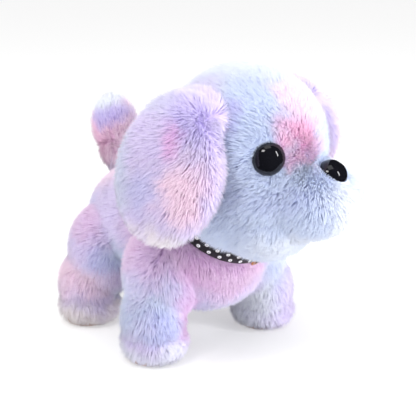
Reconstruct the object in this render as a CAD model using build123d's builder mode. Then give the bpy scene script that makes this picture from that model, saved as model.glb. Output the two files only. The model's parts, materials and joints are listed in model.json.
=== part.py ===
"""Walking plush puppy: a battery gearbox in a belly chassis, four swinging legs, a turning
and nodding head, flop ears, a wagging tail and a plush skin. Millimetres, +Z up, the puppy
faces -Y and +X is its left side. The origin is on the floor, under the middle of the whole
puppy. Drawn lengths along Y start 7.3 mm behind it, and each finished piece is moved there."""

import os
from math import atan2, cos, degrees, radians, sin

from build123d import *

os.makedirs("parts", exist_ok=True)

TO_ORIGIN = (0, 7.3, 0)   # from the drawn place to the middle of the whole length

# ---- stance -----------------------------------------------------------------------------
CRANK_Y = 16.5            # midway between front and hind legs
HIP_REACH = 32.0          # crank to hip, along Y
FOOT_REACH = 37.0         # crank to foot, along Y
HIP_Z = 58.0
FOOT_X = 43.0
SWING = 7.0               # leg swing each way, degrees

# ---- plush bulk -------------------------------------------------------------------------
RUMP_AT, RUMP_R = (0, 29.5, 67), (44, 63, 38)
CHEST_AT, CHEST_R = (0, -20, 66), (43.5, 37, 37)
FOOT_R, FOOT_Z = (20.5, 21.5, 24.0), 17.0
THIGH_R = (20, 21, 25)
FLOOR_GAP = 0.8
PLUSH_GAP = 0.6

# ---- chassis ----------------------------------------------------------------------------
CASE_X, CASE_FRONT, CASE_BACK = 25.0, -30.0, 60.0
CASE_LOW, CASE_SPLIT, CASE_TOP = 35.0, 62.0, 82.0
WALL = 1.8
CASE_ROUND = 7.0
CASE_MID = (CASE_FRONT + CASE_BACK) / 2
CASE_LEN = CASE_BACK - CASE_FRONT
INNER_X = CASE_X - WALL
BOSS_AT = [(x, y) for x in (-18.8, 18.8) for y in (-23.0, 53.0)]

# ---- battery bay ------------------------------------------------------------------------
CELL_R, CELL_LEN, CELL_PITCH = 5.25, 44.5, 10.8
BAY_X, BAY_FRONT, BAY_BACK, BAY_TOP = 16.4, -7.0, 42.0, 47.6
BAY_MID = (BAY_FRONT + BAY_BACK) / 2
DOOR_T = 1.6

# ---- belly electrics --------------------------------------------------------------------
SPEAKER_Y, SPEAKER_R = -16.0, 7.2
SWITCH_AT = (-9.8, 49.0)

# ---- gearbox ----------------------------------------------------------------------------
FINE = 0.4                # tooth module
WHEEL_T, PINION_T, CRANK_T, DRIVE_T = 36, 9, 36, 12
PLATE_T = 1.6
PLATE_RIGHT, PLATE_LEFT = 0.4, 17.0
SECOND_AT = (9.5, 64.57)
FIRST_AT = (14.5, 72.05)
MOTOR_AT = (23.1, 69.40)
CRANK_AT = (CRANK_Y, HIP_Z)

# ---- neck and head ----------------------------------------------------------------------
NECK_TILT = 24.0
NECK_FOOT = Vector(0, -24, 78)
NECK_AXIS = Vector(0, -sin(radians(NECK_TILT)), cos(radians(NECK_TILT)))
NECK_LEN = 54.5
HEAD_AT = NECK_FOOT + NECK_AXIS * NECK_LEN
HEAD_TURN = 28.0          # the head rests turned to the puppy's left
SKULL_R = 44.0
SHELL_R, SHELL_WALL = 36.5, 1.8
CHEEK_AT, CHEEK_R = (0, -16, -18), (43, 38, 29)
MUZZLE_AT, MUZZLE_R = (0, -37, -26), (33, 35, 24)
EYE_AT, EYE_R, EYE_SEAT = (34.5, -31, 2), 9.2, 42.3
NOSE_AT, NOSE_R = (0, -55, -13), (9.4, 8.2, 8.4)
EAR_X, EAR_Z, EAR_R, EAR_TILT = 53, -10, (6, 29, 41), 14.0
EAR_PIVOT = (47, 1, 30)
EAR_LIFT = {"left": 27.0, "right": 14.0}
EAR_Y = {"left": 1, "right": 16}
CUP_R = 52.0

# ---- tail -------------------------------------------------------------------------------
TAIL_AT, TAIL_R, TAIL_LEAN = (0, 82.5, 118), (15, 16, 23), -12.0
TAIL_PIVOT_Z = 74.0

# ---- collar -----------------------------------------------------------------------------
COLLAR_AT, COLLAR_TILT, COLLAR_LEAN = (6, -25, 86), 41.0, 6.0
COLLAR_R, COLLAR_W, COLLAR_T = 38.0, 9.0, 1.2

HEAD_PLANE = Plane(
    origin=HEAD_AT,
    x_dir=(cos(radians(HEAD_TURN)), sin(radians(HEAD_TURN)), 0),
    z_dir=(0, 0, 1),
)
NECK_PLANE = Plane(origin=NECK_FOOT, x_dir=(1, 0, 0), z_dir=NECK_AXIS)


def save(part, name):
    """Label one finished piece and write it as its own STEP."""
    placed = part.moved(Location(TO_ORIGIN))
    placed.label = name
    export_step(placed, f"parts/{name}.step")


def ellipsoid(radii):
    """A closed ellipsoid about the origin."""
    with BuildPart() as egg:
        Sphere(1.0)
        scale(by=radii)
    return egg.part


def grown(radii, gap):
    return tuple(r + gap for r in radii)


def case_block(gap, low, high, low_round, high_round):
    """A block of the chassis outline, `gap` bigger all round, between two heights."""
    with BuildPart() as block:
        with BuildSketch(Plane.XY.offset(low)):
            with Locations((0, CASE_MID)):
                RectangleRounded(2 * (CASE_X + gap), CASE_LEN + 2 * gap, 14 + gap)
        extrude(amount=high - low)
        if low_round:
            fillet(block.faces().sort_by(Axis.Z)[0].edges(), low_round)
        if high_round:
            fillet(block.faces().sort_by(Axis.Z)[-1].edges(), high_round)
    return block.part


def bar(start, end, radius):
    """A round bar between two points."""
    run = Vector(*end) - Vector(*start)
    with BuildPart() as rod:
        with BuildSketch(Plane(origin=start, z_dir=run)):
            Circle(radius)
        extrude(amount=run.length)
    return rod.part


def gear_profile(teeth, module, phase):
    """Spur gear outline about the sketch origin, with one tooth centred at `phase` degrees."""
    pitch = module * teeth / 2
    root = pitch - 1.15 * module
    tip = pitch + 0.9 * module
    half_root = 0.82 * module
    half_tip = 0.24 * module
    Circle(root)
    with PolarLocations(0, teeth, start_angle=phase):
        Polygon(
            (root * 0.9, -half_root),
            (root, -half_root),
            (tip, -half_tip),
            (tip, half_tip),
            (root, half_root),
            (root * 0.9, half_root),
            align=None,
        )


def gear_between(x_low, x_high, at, teeth, module, phase):
    """A spur gear on an axle along X, at (y, z)."""
    with BuildPart() as gear:
        with BuildSketch(Plane.YZ.offset(x_low)):
            with Locations(at):
                gear_profile(teeth, module, phase)
        extrude(amount=x_high - x_low)
    return gear.part


def heading(start, end):
    """Direction of one axle from another, degrees from +Y towards +Z."""
    return degrees(atan2(end[1] - start[1], end[0] - start[0]))


# ---- chassis tub ------------------------------------------------------------------------
with BuildPart() as belly_chassis:
    add(case_block(0, CASE_LOW, CASE_SPLIT, CASE_ROUND, 0))
    add(case_block(-WALL, CASE_LOW + WALL, CASE_SPLIT, CASE_ROUND - 2.5, 0), mode=Mode.SUBTRACT)
    # battery bay walls and ceiling
    with Locations((0, BAY_MID, (CASE_LOW + BAY_TOP + 1.4) / 2)):
        Box(2 * (BAY_X + 1.5), BAY_BACK - BAY_FRONT + 3, BAY_TOP + 1.4 - CASE_LOW)
    # casing screw bosses
    with Locations(*[(x, y, (CASE_LOW + CASE_SPLIT) / 2) for x, y in BOSS_AT]):
        Cylinder(3.2, CASE_SPLIT - CASE_LOW)
    # hip bosses
    hip_ys = (CRANK_Y - HIP_REACH, CRANK_Y + HIP_REACH)
    with Locations(*[Location((s * 22.2, y, HIP_Z), (0, 90, 0)) for s in (-1, 1) for y in hip_ys]):
        Cylinder(4, 4.4)
    # door screw boss
    with Locations((0, 45, 40)):
        Cylinder(3, 9)
    add(case_block(0, CASE_LOW, CASE_SPLIT, CASE_ROUND, 0), mode=Mode.INTERSECT)
    with Locations((0, BAY_MID, (CASE_LOW + BAY_TOP) / 2)):
        Box(2 * BAY_X, BAY_BACK - BAY_FRONT, BAY_TOP - CASE_LOW, mode=Mode.SUBTRACT)
    with Locations((0, 45, CASE_LOW)):
        Box(10.6, 6.6, 2.2, mode=Mode.SUBTRACT)
    with Locations(*[(x, y, 46) for x, y in BOSS_AT]):
        Cylinder(1.3, 40, mode=Mode.SUBTRACT)
    with Locations(*[(x, y, CASE_LOW) for x, y in BOSS_AT]):
        Cylinder(2.4, 5, align=(Align.CENTER, Align.CENTER, Align.MIN), mode=Mode.SUBTRACT)
    with Locations((0, 45, 40)):
        Cylinder(1.05, 8, mode=Mode.SUBTRACT)
    with Locations(*[Location((s * 22.5, y, HIP_Z), (0, 90, 0)) for s in (-1, 1) for y in hip_ys]):
        Cylinder(2, 5.2, mode=Mode.SUBTRACT)
    with Locations(*[Location((s * 24, CRANK_Y, HIP_Z), (0, 90, 0)) for s in (-1, 1)]):
        Cylinder(3, 4, mode=Mode.SUBTRACT)
    # speaker grille and switch slot in the floor
    with Locations((0, SPEAKER_Y, CASE_LOW)):
        with PolarLocations(4, 6):
            Cylinder(1.1, 6, mode=Mode.SUBTRACT)
        Cylinder(1.1, 6, mode=Mode.SUBTRACT)
    with Locations((*SWITCH_AT, CASE_LOW)):
        Box(8.4, 3.2, 6, mode=Mode.SUBTRACT)
save(belly_chassis.part, "belly_chassis")

# ---- back cover -------------------------------------------------------------------------
with BuildPart() as back_cover:
    add(case_block(0, CASE_SPLIT, CASE_TOP, 0, CASE_ROUND))
    add(case_block(-WALL, CASE_SPLIT, CASE_TOP - WALL, 0, CASE_ROUND - 2.5), mode=Mode.SUBTRACT)
    with Locations(*[(x, y, CASE_SPLIT) for x, y in BOSS_AT]):
        Cylinder(3.2, 12, align=(Align.CENTER, Align.CENTER, Align.MIN))
    add(case_block(0, CASE_SPLIT, CASE_TOP, 0, CASE_ROUND), mode=Mode.INTERSECT)
    add(bar(NECK_FOOT - NECK_AXIS * 2, NECK_FOOT + NECK_AXIS * 12, 9.5))
    with Locations(*[(x, y, CASE_SPLIT) for x, y in BOSS_AT]):
        Cylinder(1.25, 10, align=(Align.CENTER, Align.CENTER, Align.MIN), mode=Mode.SUBTRACT)
    add(bar(NECK_FOOT - NECK_AXIS * 10, NECK_FOOT + NECK_AXIS * 14, 5), mode=Mode.SUBTRACT)
    rod_hole = NECK_PLANE.from_local_coords(Vector(0, 7.3, -12))
    rod_exit = NECK_PLANE.from_local_coords(Vector(0, 7.3, 14))
    add(bar(rod_hole, rod_exit, 1.5), mode=Mode.SUBTRACT)
    with Locations(Location((0, CASE_BACK - 1, TAIL_PIVOT_Z), (90, 0, 0))):
        Cylinder(1.5, 8, mode=Mode.SUBTRACT)
save(back_cover.part, "back_cover")

with BuildPart() as casing_screws:
    with Locations(*[(x, y, CASE_LOW + 5) for x, y in BOSS_AT]):
        Cylinder(1.25, 31, align=(Align.CENTER, Align.CENTER, Align.MIN))
        Cylinder(2.3, 1.6, align=(Align.CENTER, Align.CENTER, Align.MAX))
save(casing_screws.part, "casing_screws")

# ---- batteries, door and electrics ------------------------------------------------------
CELL_Z = CASE_LOW + DOOR_T + 0.3 + CELL_R
with BuildPart() as battery_cells:
    with Locations(*[Location((x, 17, CELL_Z), (90, 0, 0)) for x in (-CELL_PITCH, 0, CELL_PITCH)]):
        Cylinder(CELL_R, CELL_LEN - 1)
    with Locations(*[Location((x, -5.2, CELL_Z), (90, 0, 0)) for x in (-CELL_PITCH, 0, CELL_PITCH)]):
        Cylinder(1.9, 1)
save(battery_cells.part, "battery_cells")

with BuildPart() as battery_contacts:
    with Locations(*[(x, BAY_FRONT + 0.25, CELL_Z) for x in (-CELL_PITCH, 0, CELL_PITCH)]):
        Box(8, 0.5, 8)
    with Locations(*[(x, BAY_BACK - 0.25, CELL_Z) for x in (-CELL_PITCH, 0, CELL_PITCH)]):
        Box(8, 0.5, 8)
    with Locations(*[Location((x, 40.2, CELL_Z), (90, 0, 0)) for x in (-CELL_PITCH, 0, CELL_PITCH)]):
        Cone(3.6, 2.2, 2.6)
save(battery_contacts.part, "battery_contacts")

with BuildPart() as battery_door:
    with Locations((0, BAY_MID, CASE_LOW + DOOR_T / 2)):
        Box(2 * BAY_X - 0.6, BAY_BACK - BAY_FRONT - 0.6, DOOR_T)
    with Locations((0, 44.2, CASE_LOW + 0.5)):
        Box(10, 7.2, 1)
    with Locations(*[(0, y, CASE_LOW) for y in (0, 4, 8)]):
        Box(16, 1.2, 0.6, mode=Mode.SUBTRACT)
    with Locations((0, 45, CASE_LOW)):
        Cylinder(1.0, 4, mode=Mode.SUBTRACT)
save(battery_door.part, "battery_door")

with BuildPart() as battery_door_screw:
    with Locations((0, 45, CASE_LOW)):
        Cylinder(1.0, 7, align=(Align.CENTER, Align.CENTER, Align.MIN))
        Cylinder(2.2, 1.2, align=(Align.CENTER, Align.CENTER, Align.MAX))
        with Locations((0, 0, -1.2)):
            Box(3, 0.6, 1, mode=Mode.SUBTRACT)
save(battery_door_screw.part, "battery_door_screw")

with BuildPart() as circuit_board:
    with Locations((0, 53, 64)):
        Box(30, 1.6, 26)
    with Locations((-6, 51.4, 68)):
        Box(9, 1.6, 9)
    with Locations((8, 51.4, 58)):
        Box(5, 1.6, 4)
    with Locations(Location((8, 50.2, 70), (90, 0, 0))):
        Cylinder(2.5, 4)
save(circuit_board.part, "circuit_board")

with BuildPart() as speaker:
    with Locations((0, SPEAKER_Y, CASE_LOW + WALL)):
        Cylinder(SPEAKER_R, 1.6, align=(Align.CENTER, Align.CENTER, Align.MIN))
        Cylinder(4.5, 5, align=(Align.CENTER, Align.CENTER, Align.MIN))
        Cone(5.6, 2.4, 1.2, align=(Align.CENTER, Align.CENTER, Align.MIN), mode=Mode.SUBTRACT)
save(speaker.part, "speaker")

with BuildPart() as switch_housing:
    with Locations((*SWITCH_AT, CASE_LOW + WALL)):
        Box(11.6, 7.6, 4, align=(Align.CENTER, Align.CENTER, Align.MIN))
        Box(8.8, 4, 2.5, align=(Align.CENTER, Align.CENTER, Align.MIN), mode=Mode.SUBTRACT)
save(switch_housing.part, "switch_housing")

with BuildPart() as switch_slider:
    with Locations((SWITCH_AT[0] - 2, SWITCH_AT[1], CASE_LOW + WALL + 0.2)):
        Box(4, 3.6, 2, align=(Align.CENTER, Align.CENTER, Align.MIN))
    with Locations((SWITCH_AT[0] - 2, SWITCH_AT[1], CASE_LOW - 1.6)):
        Box(3.2, 2.6, 4, align=(Align.CENTER, Align.CENTER, Align.MIN))
save(switch_slider.part, "switch_slider")


def lead(points, bend, radius=0.7):
    """One insulated lead: straight runs joined by arcs."""
    with BuildPart() as wire:
        with BuildLine() as route:
            FilletPolyline(*points, radius=bend)
        with BuildSketch(route.line ^ 0):
            Circle(radius)
        sweep(path=route.line)
    return wire.part


with BuildPart() as wiring:
    add(lead([(-7.4, SPEAKER_Y, 37.6), (-12, SPEAKER_Y, 39.5), (-20.3, -9, 42), (-20.3, 36, 43),
              (-20.3, 43.5, 50.5), (-12.5, 48, 55), (-12.5, 52.2, 55)], 2.4))
    add(lead([(-18, 23.1, 61.8), (-18, 24.5, 56), (-15, 34, 54), (-10, 45, 57), (-10, 52.2, 57)], 2.4))
save(wiring.part, "wiring")

# ---- gearbox ----------------------------------------------------------------------------
PLATE_MID = (16.5, 65.5)
PLATE_CORNERS = [(2.0, 53.0), (31.0, 53.0), (2.0, 77.5)]
with BuildPart() as gearbox_plate_left:
    with BuildSketch(Plane.YZ.offset(PLATE_LEFT)):
        with Locations(PLATE_MID):
            RectangleRounded(34, 29, 3)
        with Locations(CRANK_AT):
            Circle(1.55, mode=Mode.SUBTRACT)
        with Locations(FIRST_AT, SECOND_AT):
            Circle(1.0, mode=Mode.SUBTRACT)
    extrude(amount=PLATE_T)
    with BuildSketch(Plane.YZ.offset(PLATE_RIGHT + PLATE_T)):
        with Locations(*PLATE_CORNERS):
            Circle(1.8)
    extrude(amount=PLATE_LEFT - PLATE_RIGHT - PLATE_T)
save(gearbox_plate_left.part, "gearbox_plate_left")

with BuildPart() as gearbox_plate_right:
    with BuildSketch(Plane.YZ.offset(PLATE_RIGHT)):
        with Locations(PLATE_MID):
            RectangleRounded(34, 29, 3)
        with Locations(CRANK_AT):
            Circle(1.55, mode=Mode.SUBTRACT)
        with Locations(FIRST_AT, SECOND_AT):
            Circle(1.0, mode=Mode.SUBTRACT)
        with Locations(MOTOR_AT):
            Circle(1.6, mode=Mode.SUBTRACT)
    extrude(amount=PLATE_T)
save(gearbox_plate_right.part, "gearbox_plate_right")

with BuildPart() as gear_axles:
    with BuildSketch(Plane.YZ.offset(PLATE_RIGHT)):
        with Locations(FIRST_AT, SECOND_AT):
            Circle(1.0)
    extrude(amount=PLATE_LEFT + PLATE_T - PLATE_RIGHT)
save(gear_axles.part, "gear_axles")

with BuildPart() as motor:
    with BuildSketch(Plane.YZ.offset(PLATE_RIGHT - 22)):
        with Locations(MOTOR_AT):
            Circle(10)
            Rectangle(24, 15, mode=Mode.INTERSECT)
    extrude(amount=22)
    fillet(motor.edges().filter_by(GeomType.CIRCLE), 0.8)
save(motor.part, "motor")

with BuildPart() as motor_pinion:
    add(gear_between(3, 6.6, MOTOR_AT, PINION_T, FINE, heading(MOTOR_AT, FIRST_AT)))
    add(bar((PLATE_RIGHT + 0.1, *MOTOR_AT), (3, *MOTOR_AT), 0.8))
save(motor_pinion.part, "motor_pinion")

FIRST_PHASE = heading(FIRST_AT, MOTOR_AT) + 180 / WHEEL_T
with BuildPart() as first_gear:
    add(gear_between(3.4, 6.0, FIRST_AT, WHEEL_T, FINE, FIRST_PHASE))
    add(gear_between(6.0, 10.6, FIRST_AT, PINION_T, FINE, heading(FIRST_AT, SECOND_AT)))
    add(bar((3.4, *FIRST_AT), (10.6, *FIRST_AT), 1.05), mode=Mode.SUBTRACT)
save(first_gear.part, "first_gear")

SECOND_PHASE = heading(SECOND_AT, FIRST_AT) + 180 / WHEEL_T
with BuildPart() as second_gear:
    add(gear_between(7.0, 10.0, SECOND_AT, WHEEL_T, FINE, SECOND_PHASE))
    add(gear_between(10.0, 15.4, SECOND_AT, DRIVE_T, FINE, heading(SECOND_AT, CRANK_AT)))
    add(bar((7.0, *SECOND_AT), (15.4, *SECOND_AT), 1.05), mode=Mode.SUBTRACT)
save(second_gear.part, "second_gear")

CRANK_PHASE = heading(CRANK_AT, SECOND_AT) + 180 / CRANK_T
with BuildPart() as crank_gear:
    add(gear_between(11.4, 15.0, CRANK_AT, CRANK_T, FINE, CRANK_PHASE))
    add(bar((11.4, *CRANK_AT), (15.0, *CRANK_AT), 1.5), mode=Mode.SUBTRACT)
save(crank_gear.part, "crank_gear")

with BuildPart() as crankshaft:
    add(bar((-27.4, *CRANK_AT), (27.4, *CRANK_AT), 1.5))
save(crankshaft.part, "crankshaft")

with BuildPart() as shaft_bushes:
    for side in (-1, 1):
        add(bar((side * INNER_X, *CRANK_AT), (side * CASE_X, *CRANK_AT), 3))
        add(bar((side * (INNER_X - 1), *CRANK_AT), (side * INNER_X, *CRANK_AT), 4))
        add(bar((side * 21, *CRANK_AT), (side * 26, *CRANK_AT), 1.55), mode=Mode.SUBTRACT)
save(shaft_bushes.part, "shaft_bushes")

CRANK_THROW = HIP_REACH * sin(radians(SWING))
for side, name in ((1, "crank_disc_left"), (-1, "crank_disc_right")):
    with BuildPart() as disc:
        add(bar((side * 25.4, *CRANK_AT), (side * 27.4, *CRANK_AT), 6.5))
        pin_y = CRANK_Y + side * CRANK_THROW
        add(bar((side * 27.4, pin_y, HIP_Z), (side * 29.0, pin_y, HIP_Z), 1.7))
        add(bar((side * 25, *CRANK_AT), (side * 27.4, *CRANK_AT), 1.5), mode=Mode.SUBTRACT)
    save(disc.part, name)

# ---- legs -------------------------------------------------------------------------------
HUB_IN, HUB_OUT = 26.0, 34.4
PLATES = {"front": (29.4, 31.4), "hind": (31.8, 33.8)}
SLOT_LEN, SLOT_W = 2 * CRANK_THROW + 4.0, 4.1


def boot(radius_cut):
    """The foot's cone about its own axis, `radius_cut` inside its outer face."""
    with BuildPart() as cone:
        with BuildSketch(Plane.XZ):
            with BuildLine():
                Polyline(
                    (0, 3),
                    (13.5 - radius_cut, 3),
                    (13.5 - radius_cut, 8 - radius_cut / 4),
                    (8 - radius_cut, 26 - radius_cut),
                    (0, 26 - radius_cut),
                    close=True,
                )
            make_face()
        revolve(axis=Axis.Z)
    return cone.part


def leg_frame(side, end):
    """Plastic leg: lever arm with its crank slot, hip hub, drop plate and hollow foot."""
    towards = 1 if end == "front" else -1
    hip_y = CRANK_Y - towards * HIP_REACH
    foot_y = CRANK_Y - towards * FOOT_REACH
    x_in, x_out = PLATES[end]
    x_mid = side * (x_in + x_out) / 2
    with BuildPart() as leg:
        with BuildSketch(Plane.YZ.offset(x_mid - (x_out - x_in) / 2)):
            with BuildLine():
                Polyline(
                    (hip_y + towards * 4, HIP_Z - 3.5),
                    (CRANK_Y + towards * 8.5, HIP_Z - 4),
                    (CRANK_Y + towards * 8.5, HIP_Z + 4),
                    (hip_y - towards * 2, HIP_Z + 4.5),
                    (hip_y - towards * 6, HIP_Z - 2),
                    (foot_y - towards * 6, 20),
                    (foot_y + towards * 6, 20),
                    close=True,
                )
            make_face()
            with Locations((CRANK_Y, HIP_Z)):
                SlotOverall(SLOT_LEN, SLOT_W, mode=Mode.SUBTRACT)
        extrude(amount=x_out - x_in)
        add(bar((side * HUB_IN, hip_y, HIP_Z), (side * HUB_OUT, hip_y, HIP_Z), 5))
        with Locations((side * (x_in + FOOT_X) / 2, foot_y, 20)):
            Box(FOOT_X - x_in, 10, 6)
        with Locations((side * FOOT_X, foot_y, 0)):
            add(boot(0))
            add(boot(2), mode=Mode.SUBTRACT)
        add(bar((side * 25, hip_y, HIP_Z), (side * 36, hip_y, HIP_Z), 2.05), mode=Mode.SUBTRACT)
    return leg.part


def sole_pad(side, end):
    """Rubber sole that plugs into the foot and stands on the floor."""
    foot_y = CRANK_Y - (FOOT_REACH if end == "front" else -FOOT_REACH)
    with BuildPart() as pad:
        with Locations((side * FOOT_X, foot_y, 0)):
            Cylinder(13.5, 3, align=(Align.CENTER, Align.CENTER, Align.MIN))
            Cylinder(11.5, 5, align=(Align.CENTER, Align.CENTER, Align.MIN))
    return pad.part


def sleeve_eggs(side, end, foot_gap, thigh_gap):
    """The two ellipsoids of a leg's plush, each grown by its own gaps."""
    reach = 1 if end == "front" else -1
    foot_y = CRANK_Y - reach * FOOT_REACH
    thigh_y = CRANK_Y - reach * (FOOT_REACH + HIP_REACH) / 2
    foot = ellipsoid(tuple(r + g for r, g in zip(FOOT_R, foot_gap)))
    thigh = ellipsoid(tuple(r + g for r, g in zip(THIGH_R, thigh_gap)))
    return [
        foot.moved(Location((side * FOOT_X, foot_y, FOOT_Z))),
        thigh.moved(Location((side * 40, thigh_y, 46))),
    ]


def leg_sleeve(side, end, frame, pad):
    """Plush over one leg, hollow where the plastic leg runs."""
    foot_y = CRANK_Y - (FOOT_REACH if end == "front" else -FOOT_REACH)
    with BuildPart() as sleeve:
        for egg in sleeve_eggs(side, end, (0, 0, 0), (0, 0, 0)):
            add(egg)
        with Locations((side * FOOT_X, foot_y, FLOOR_GAP)):
            Box(80, 80, 20, align=(Align.CENTER, Align.CENTER, Align.MAX), mode=Mode.SUBTRACT)
        with Locations((side * 16, foot_y, 33.5)):
            Box(40, 90, 60, align=(Align.CENTER, Align.CENTER, Align.MIN), mode=Mode.SUBTRACT)
        with Locations((side * FOOT_X, foot_y, 0)):
            add(boot(0), mode=Mode.SUBTRACT)
        add(frame, mode=Mode.SUBTRACT)
        add(pad, mode=Mode.SUBTRACT)
    return sleeve.part


SIDES = {"left": 1, "right": -1}
for end in ("front", "hind"):
    for side_name, side in SIDES.items():
        frame_part = leg_frame(side, end)
        pad_part = sole_pad(side, end)
        save(frame_part, f"leg_{end}_{side_name}")
        save(pad_part, f"sole_{end}_{side_name}")
        save(leg_sleeve(side, end, frame_part, pad_part), f"leg_plush_{end}_{side_name}")

with BuildPart() as hip_pins:
    for side in SIDES.values():
        for y in hip_ys:
            add(bar((side * 20.2, y, HIP_Z), (side * 34.7, y, HIP_Z), 2))
            add(bar((side * 34.7, y, HIP_Z), (side * 35.6, y, HIP_Z), 3.4))
save(hip_pins.part, "hip_pins")

# ---- neck -------------------------------------------------------------------------------
with BuildPart(NECK_PLANE) as neck_post:
    Cylinder(5, 45, align=(Align.CENTER, Align.CENTER, Align.MIN))
    Cylinder(3, 45, align=(Align.CENTER, Align.CENTER, Align.MIN), mode=Mode.SUBTRACT)
save(neck_post.part, "neck_post")

with BuildPart(NECK_PLANE) as neck_swivel:
    with Locations((0, 0, 34)):
        Cylinder(8, 12.5, align=(Align.CENTER, Align.CENTER, Align.MIN))
    with Locations((0, 0, NECK_LEN)):
        Sphere(9)
    Cylinder(5.05, 45.2, align=(Align.CENTER, Align.CENTER, Align.MIN), mode=Mode.SUBTRACT)
NOD_A = HEAD_PLANE.from_local_coords(Vector(-15, 0, 0))
NOD_B = HEAD_PLANE.from_local_coords(Vector(15, 0, 0))
with BuildPart() as swivel_bored:
    add(neck_swivel.part)
    add(bar(NOD_A, NOD_B, 2.05), mode=Mode.SUBTRACT)
save(swivel_bored.part, "neck_swivel")

with BuildPart() as nod_pin:
    add(bar(NOD_A, NOD_B, 2))
save(nod_pin.part, "nod_pin")

with BuildPart(NECK_PLANE) as nod_collar:
    with Locations((0, 0, 24)):
        Cylinder(9, 4, align=(Align.CENTER, Align.CENTER, Align.MIN))
    Cylinder(5.1, 60, mode=Mode.SUBTRACT)
save(nod_collar.part, "nod_collar")

with BuildPart(NECK_PLANE) as nod_pushrod:
    with Locations((0, 7.3, -12)):
        Cylinder(1.1, 36, align=(Align.CENTER, Align.CENTER, Align.MIN))
save(nod_pushrod.part, "nod_pushrod")

# ---- head shells ------------------------------------------------------------------------
def eye_plane(side):
    """Seat of an eye: centre of its flat back, facing out of the head."""
    away = Vector(side * EYE_AT[0], EYE_AT[1], EYE_AT[2]).normalized()
    seat = HEAD_PLANE.from_local_coords(away * EYE_SEAT)
    return Plane(origin=seat, z_dir=seat - HEAD_AT)


NOSE_SEAT = HEAD_PLANE.from_local_coords(Vector(*NOSE_AT))
NOSE_TIP = HEAD_PLANE.from_local_coords(Vector(0, NOSE_AT[1] - 0.82, NOSE_AT[2] + 0.57))
NOSE_PLANE = Plane(origin=NOSE_SEAT, x_dir=HEAD_PLANE.x_dir, z_dir=NOSE_TIP - NOSE_SEAT)


def eye(side):
    """Glossy dome on a moulded shank."""
    with BuildPart(eye_plane(side)) as dome:
        add(ellipsoid((EYE_R, EYE_R, 7.5)))
        Box(30, 30, 20, align=(Align.CENTER, Align.CENTER, Align.MAX), mode=Mode.SUBTRACT)
        Cylinder(2, 11, align=(Align.CENTER, Align.CENTER, Align.MAX))
    return dome.part


with BuildPart(NOSE_PLANE) as nose:
    add(ellipsoid(NOSE_R))
    Box(30, 30, 20, align=(Align.CENTER, Align.CENTER, Align.MAX), mode=Mode.SUBTRACT)
    Cylinder(2, 12, align=(Align.CENTER, Align.CENTER, Align.MAX))
save(nose.part, "nose")

with BuildPart(NOSE_PLANE) as nose_washer:
    with Locations((0, 0, -9)):
        Cylinder(6, 1.2)
        Cylinder(2, 3, mode=Mode.SUBTRACT)
save(nose_washer.part, "nose_washer")

eyes = {name: eye(side) for name, side in SIDES.items()}
for name, part in eyes.items():
    save(part, f"eye_{name}")

with BuildPart(*[eye_plane(side) for side in SIDES.values()]) as eye_washers:
    with Locations((0, 0, -8.9)):
        Cylinder(5.2, 1)
        Cylinder(2, 3, mode=Mode.SUBTRACT)
save(eye_washers.part, "eye_washers")


def half_ball(radius, front):
    """Front or back half of a ball about the head's centre."""
    with BuildPart(HEAD_PLANE) as ball:
        Sphere(radius)
        dropped = Align.MIN if front else Align.MAX
        Box(200, 100, 200, align=(Align.CENTER, dropped, Align.CENTER), mode=Mode.SUBTRACT)
    return ball.part


NECK_HOLE = bar(HEAD_AT, NECK_FOOT, 13)
with BuildPart() as head_shell_front:
    add(half_ball(SHELL_R, True))
    add(half_ball(SHELL_R - SHELL_WALL, True), mode=Mode.SUBTRACT)
    add(NECK_HOLE, mode=Mode.SUBTRACT)
    for part in eyes.values():
        add(part, mode=Mode.SUBTRACT)
save(head_shell_front.part, "head_shell_front")

with BuildPart(HEAD_PLANE) as nod_arms:
    with Locations((-13, 15, 0), (13, 15, 0)):
        Box(3.6, 44, 8)
    Sphere(SHELL_R - 0.5, mode=Mode.INTERSECT)
with BuildPart() as head_shell_back:
    add(half_ball(SHELL_R, False))
    add(half_ball(SHELL_R - SHELL_WALL, False), mode=Mode.SUBTRACT)
    add(NECK_HOLE, mode=Mode.SUBTRACT)
    add(nod_arms.part)
    add(bar(NOD_A, NOD_B, 2), mode=Mode.SUBTRACT)
save(head_shell_back.part, "head_shell_back")

# ---- head plush and ears ----------------------------------------------------------------
with BuildPart(HEAD_PLANE) as head_bulk:
    Sphere(SKULL_R)
    with Locations(CHEEK_AT):
        add(ellipsoid(CHEEK_R))
    with Locations(MUZZLE_AT):
        add(ellipsoid(MUZZLE_R))
    Sphere(SHELL_R + 0.2, mode=Mode.SUBTRACT)
with BuildPart() as head_plush:
    add(head_bulk.part)
    add(bar(HEAD_AT, NECK_FOOT, 16), mode=Mode.SUBTRACT)
    for side, part in zip(SIDES.values(), eyes.values()):
        seat = eye_plane(side)
        add(part, mode=Mode.SUBTRACT)
        add(bar(seat.origin, seat.origin + seat.z_dir * 12, EYE_R + 0.4), mode=Mode.SUBTRACT)
    add(nose.part, mode=Mode.SUBTRACT)
    add(nose_washer.part, mode=Mode.SUBTRACT)
    add(bar(NOSE_SEAT, NOSE_SEAT + NOSE_PLANE.z_dir * 14, NOSE_R[0] + 0.4), mode=Mode.SUBTRACT)
save(head_plush.part, "head_plush")


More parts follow.
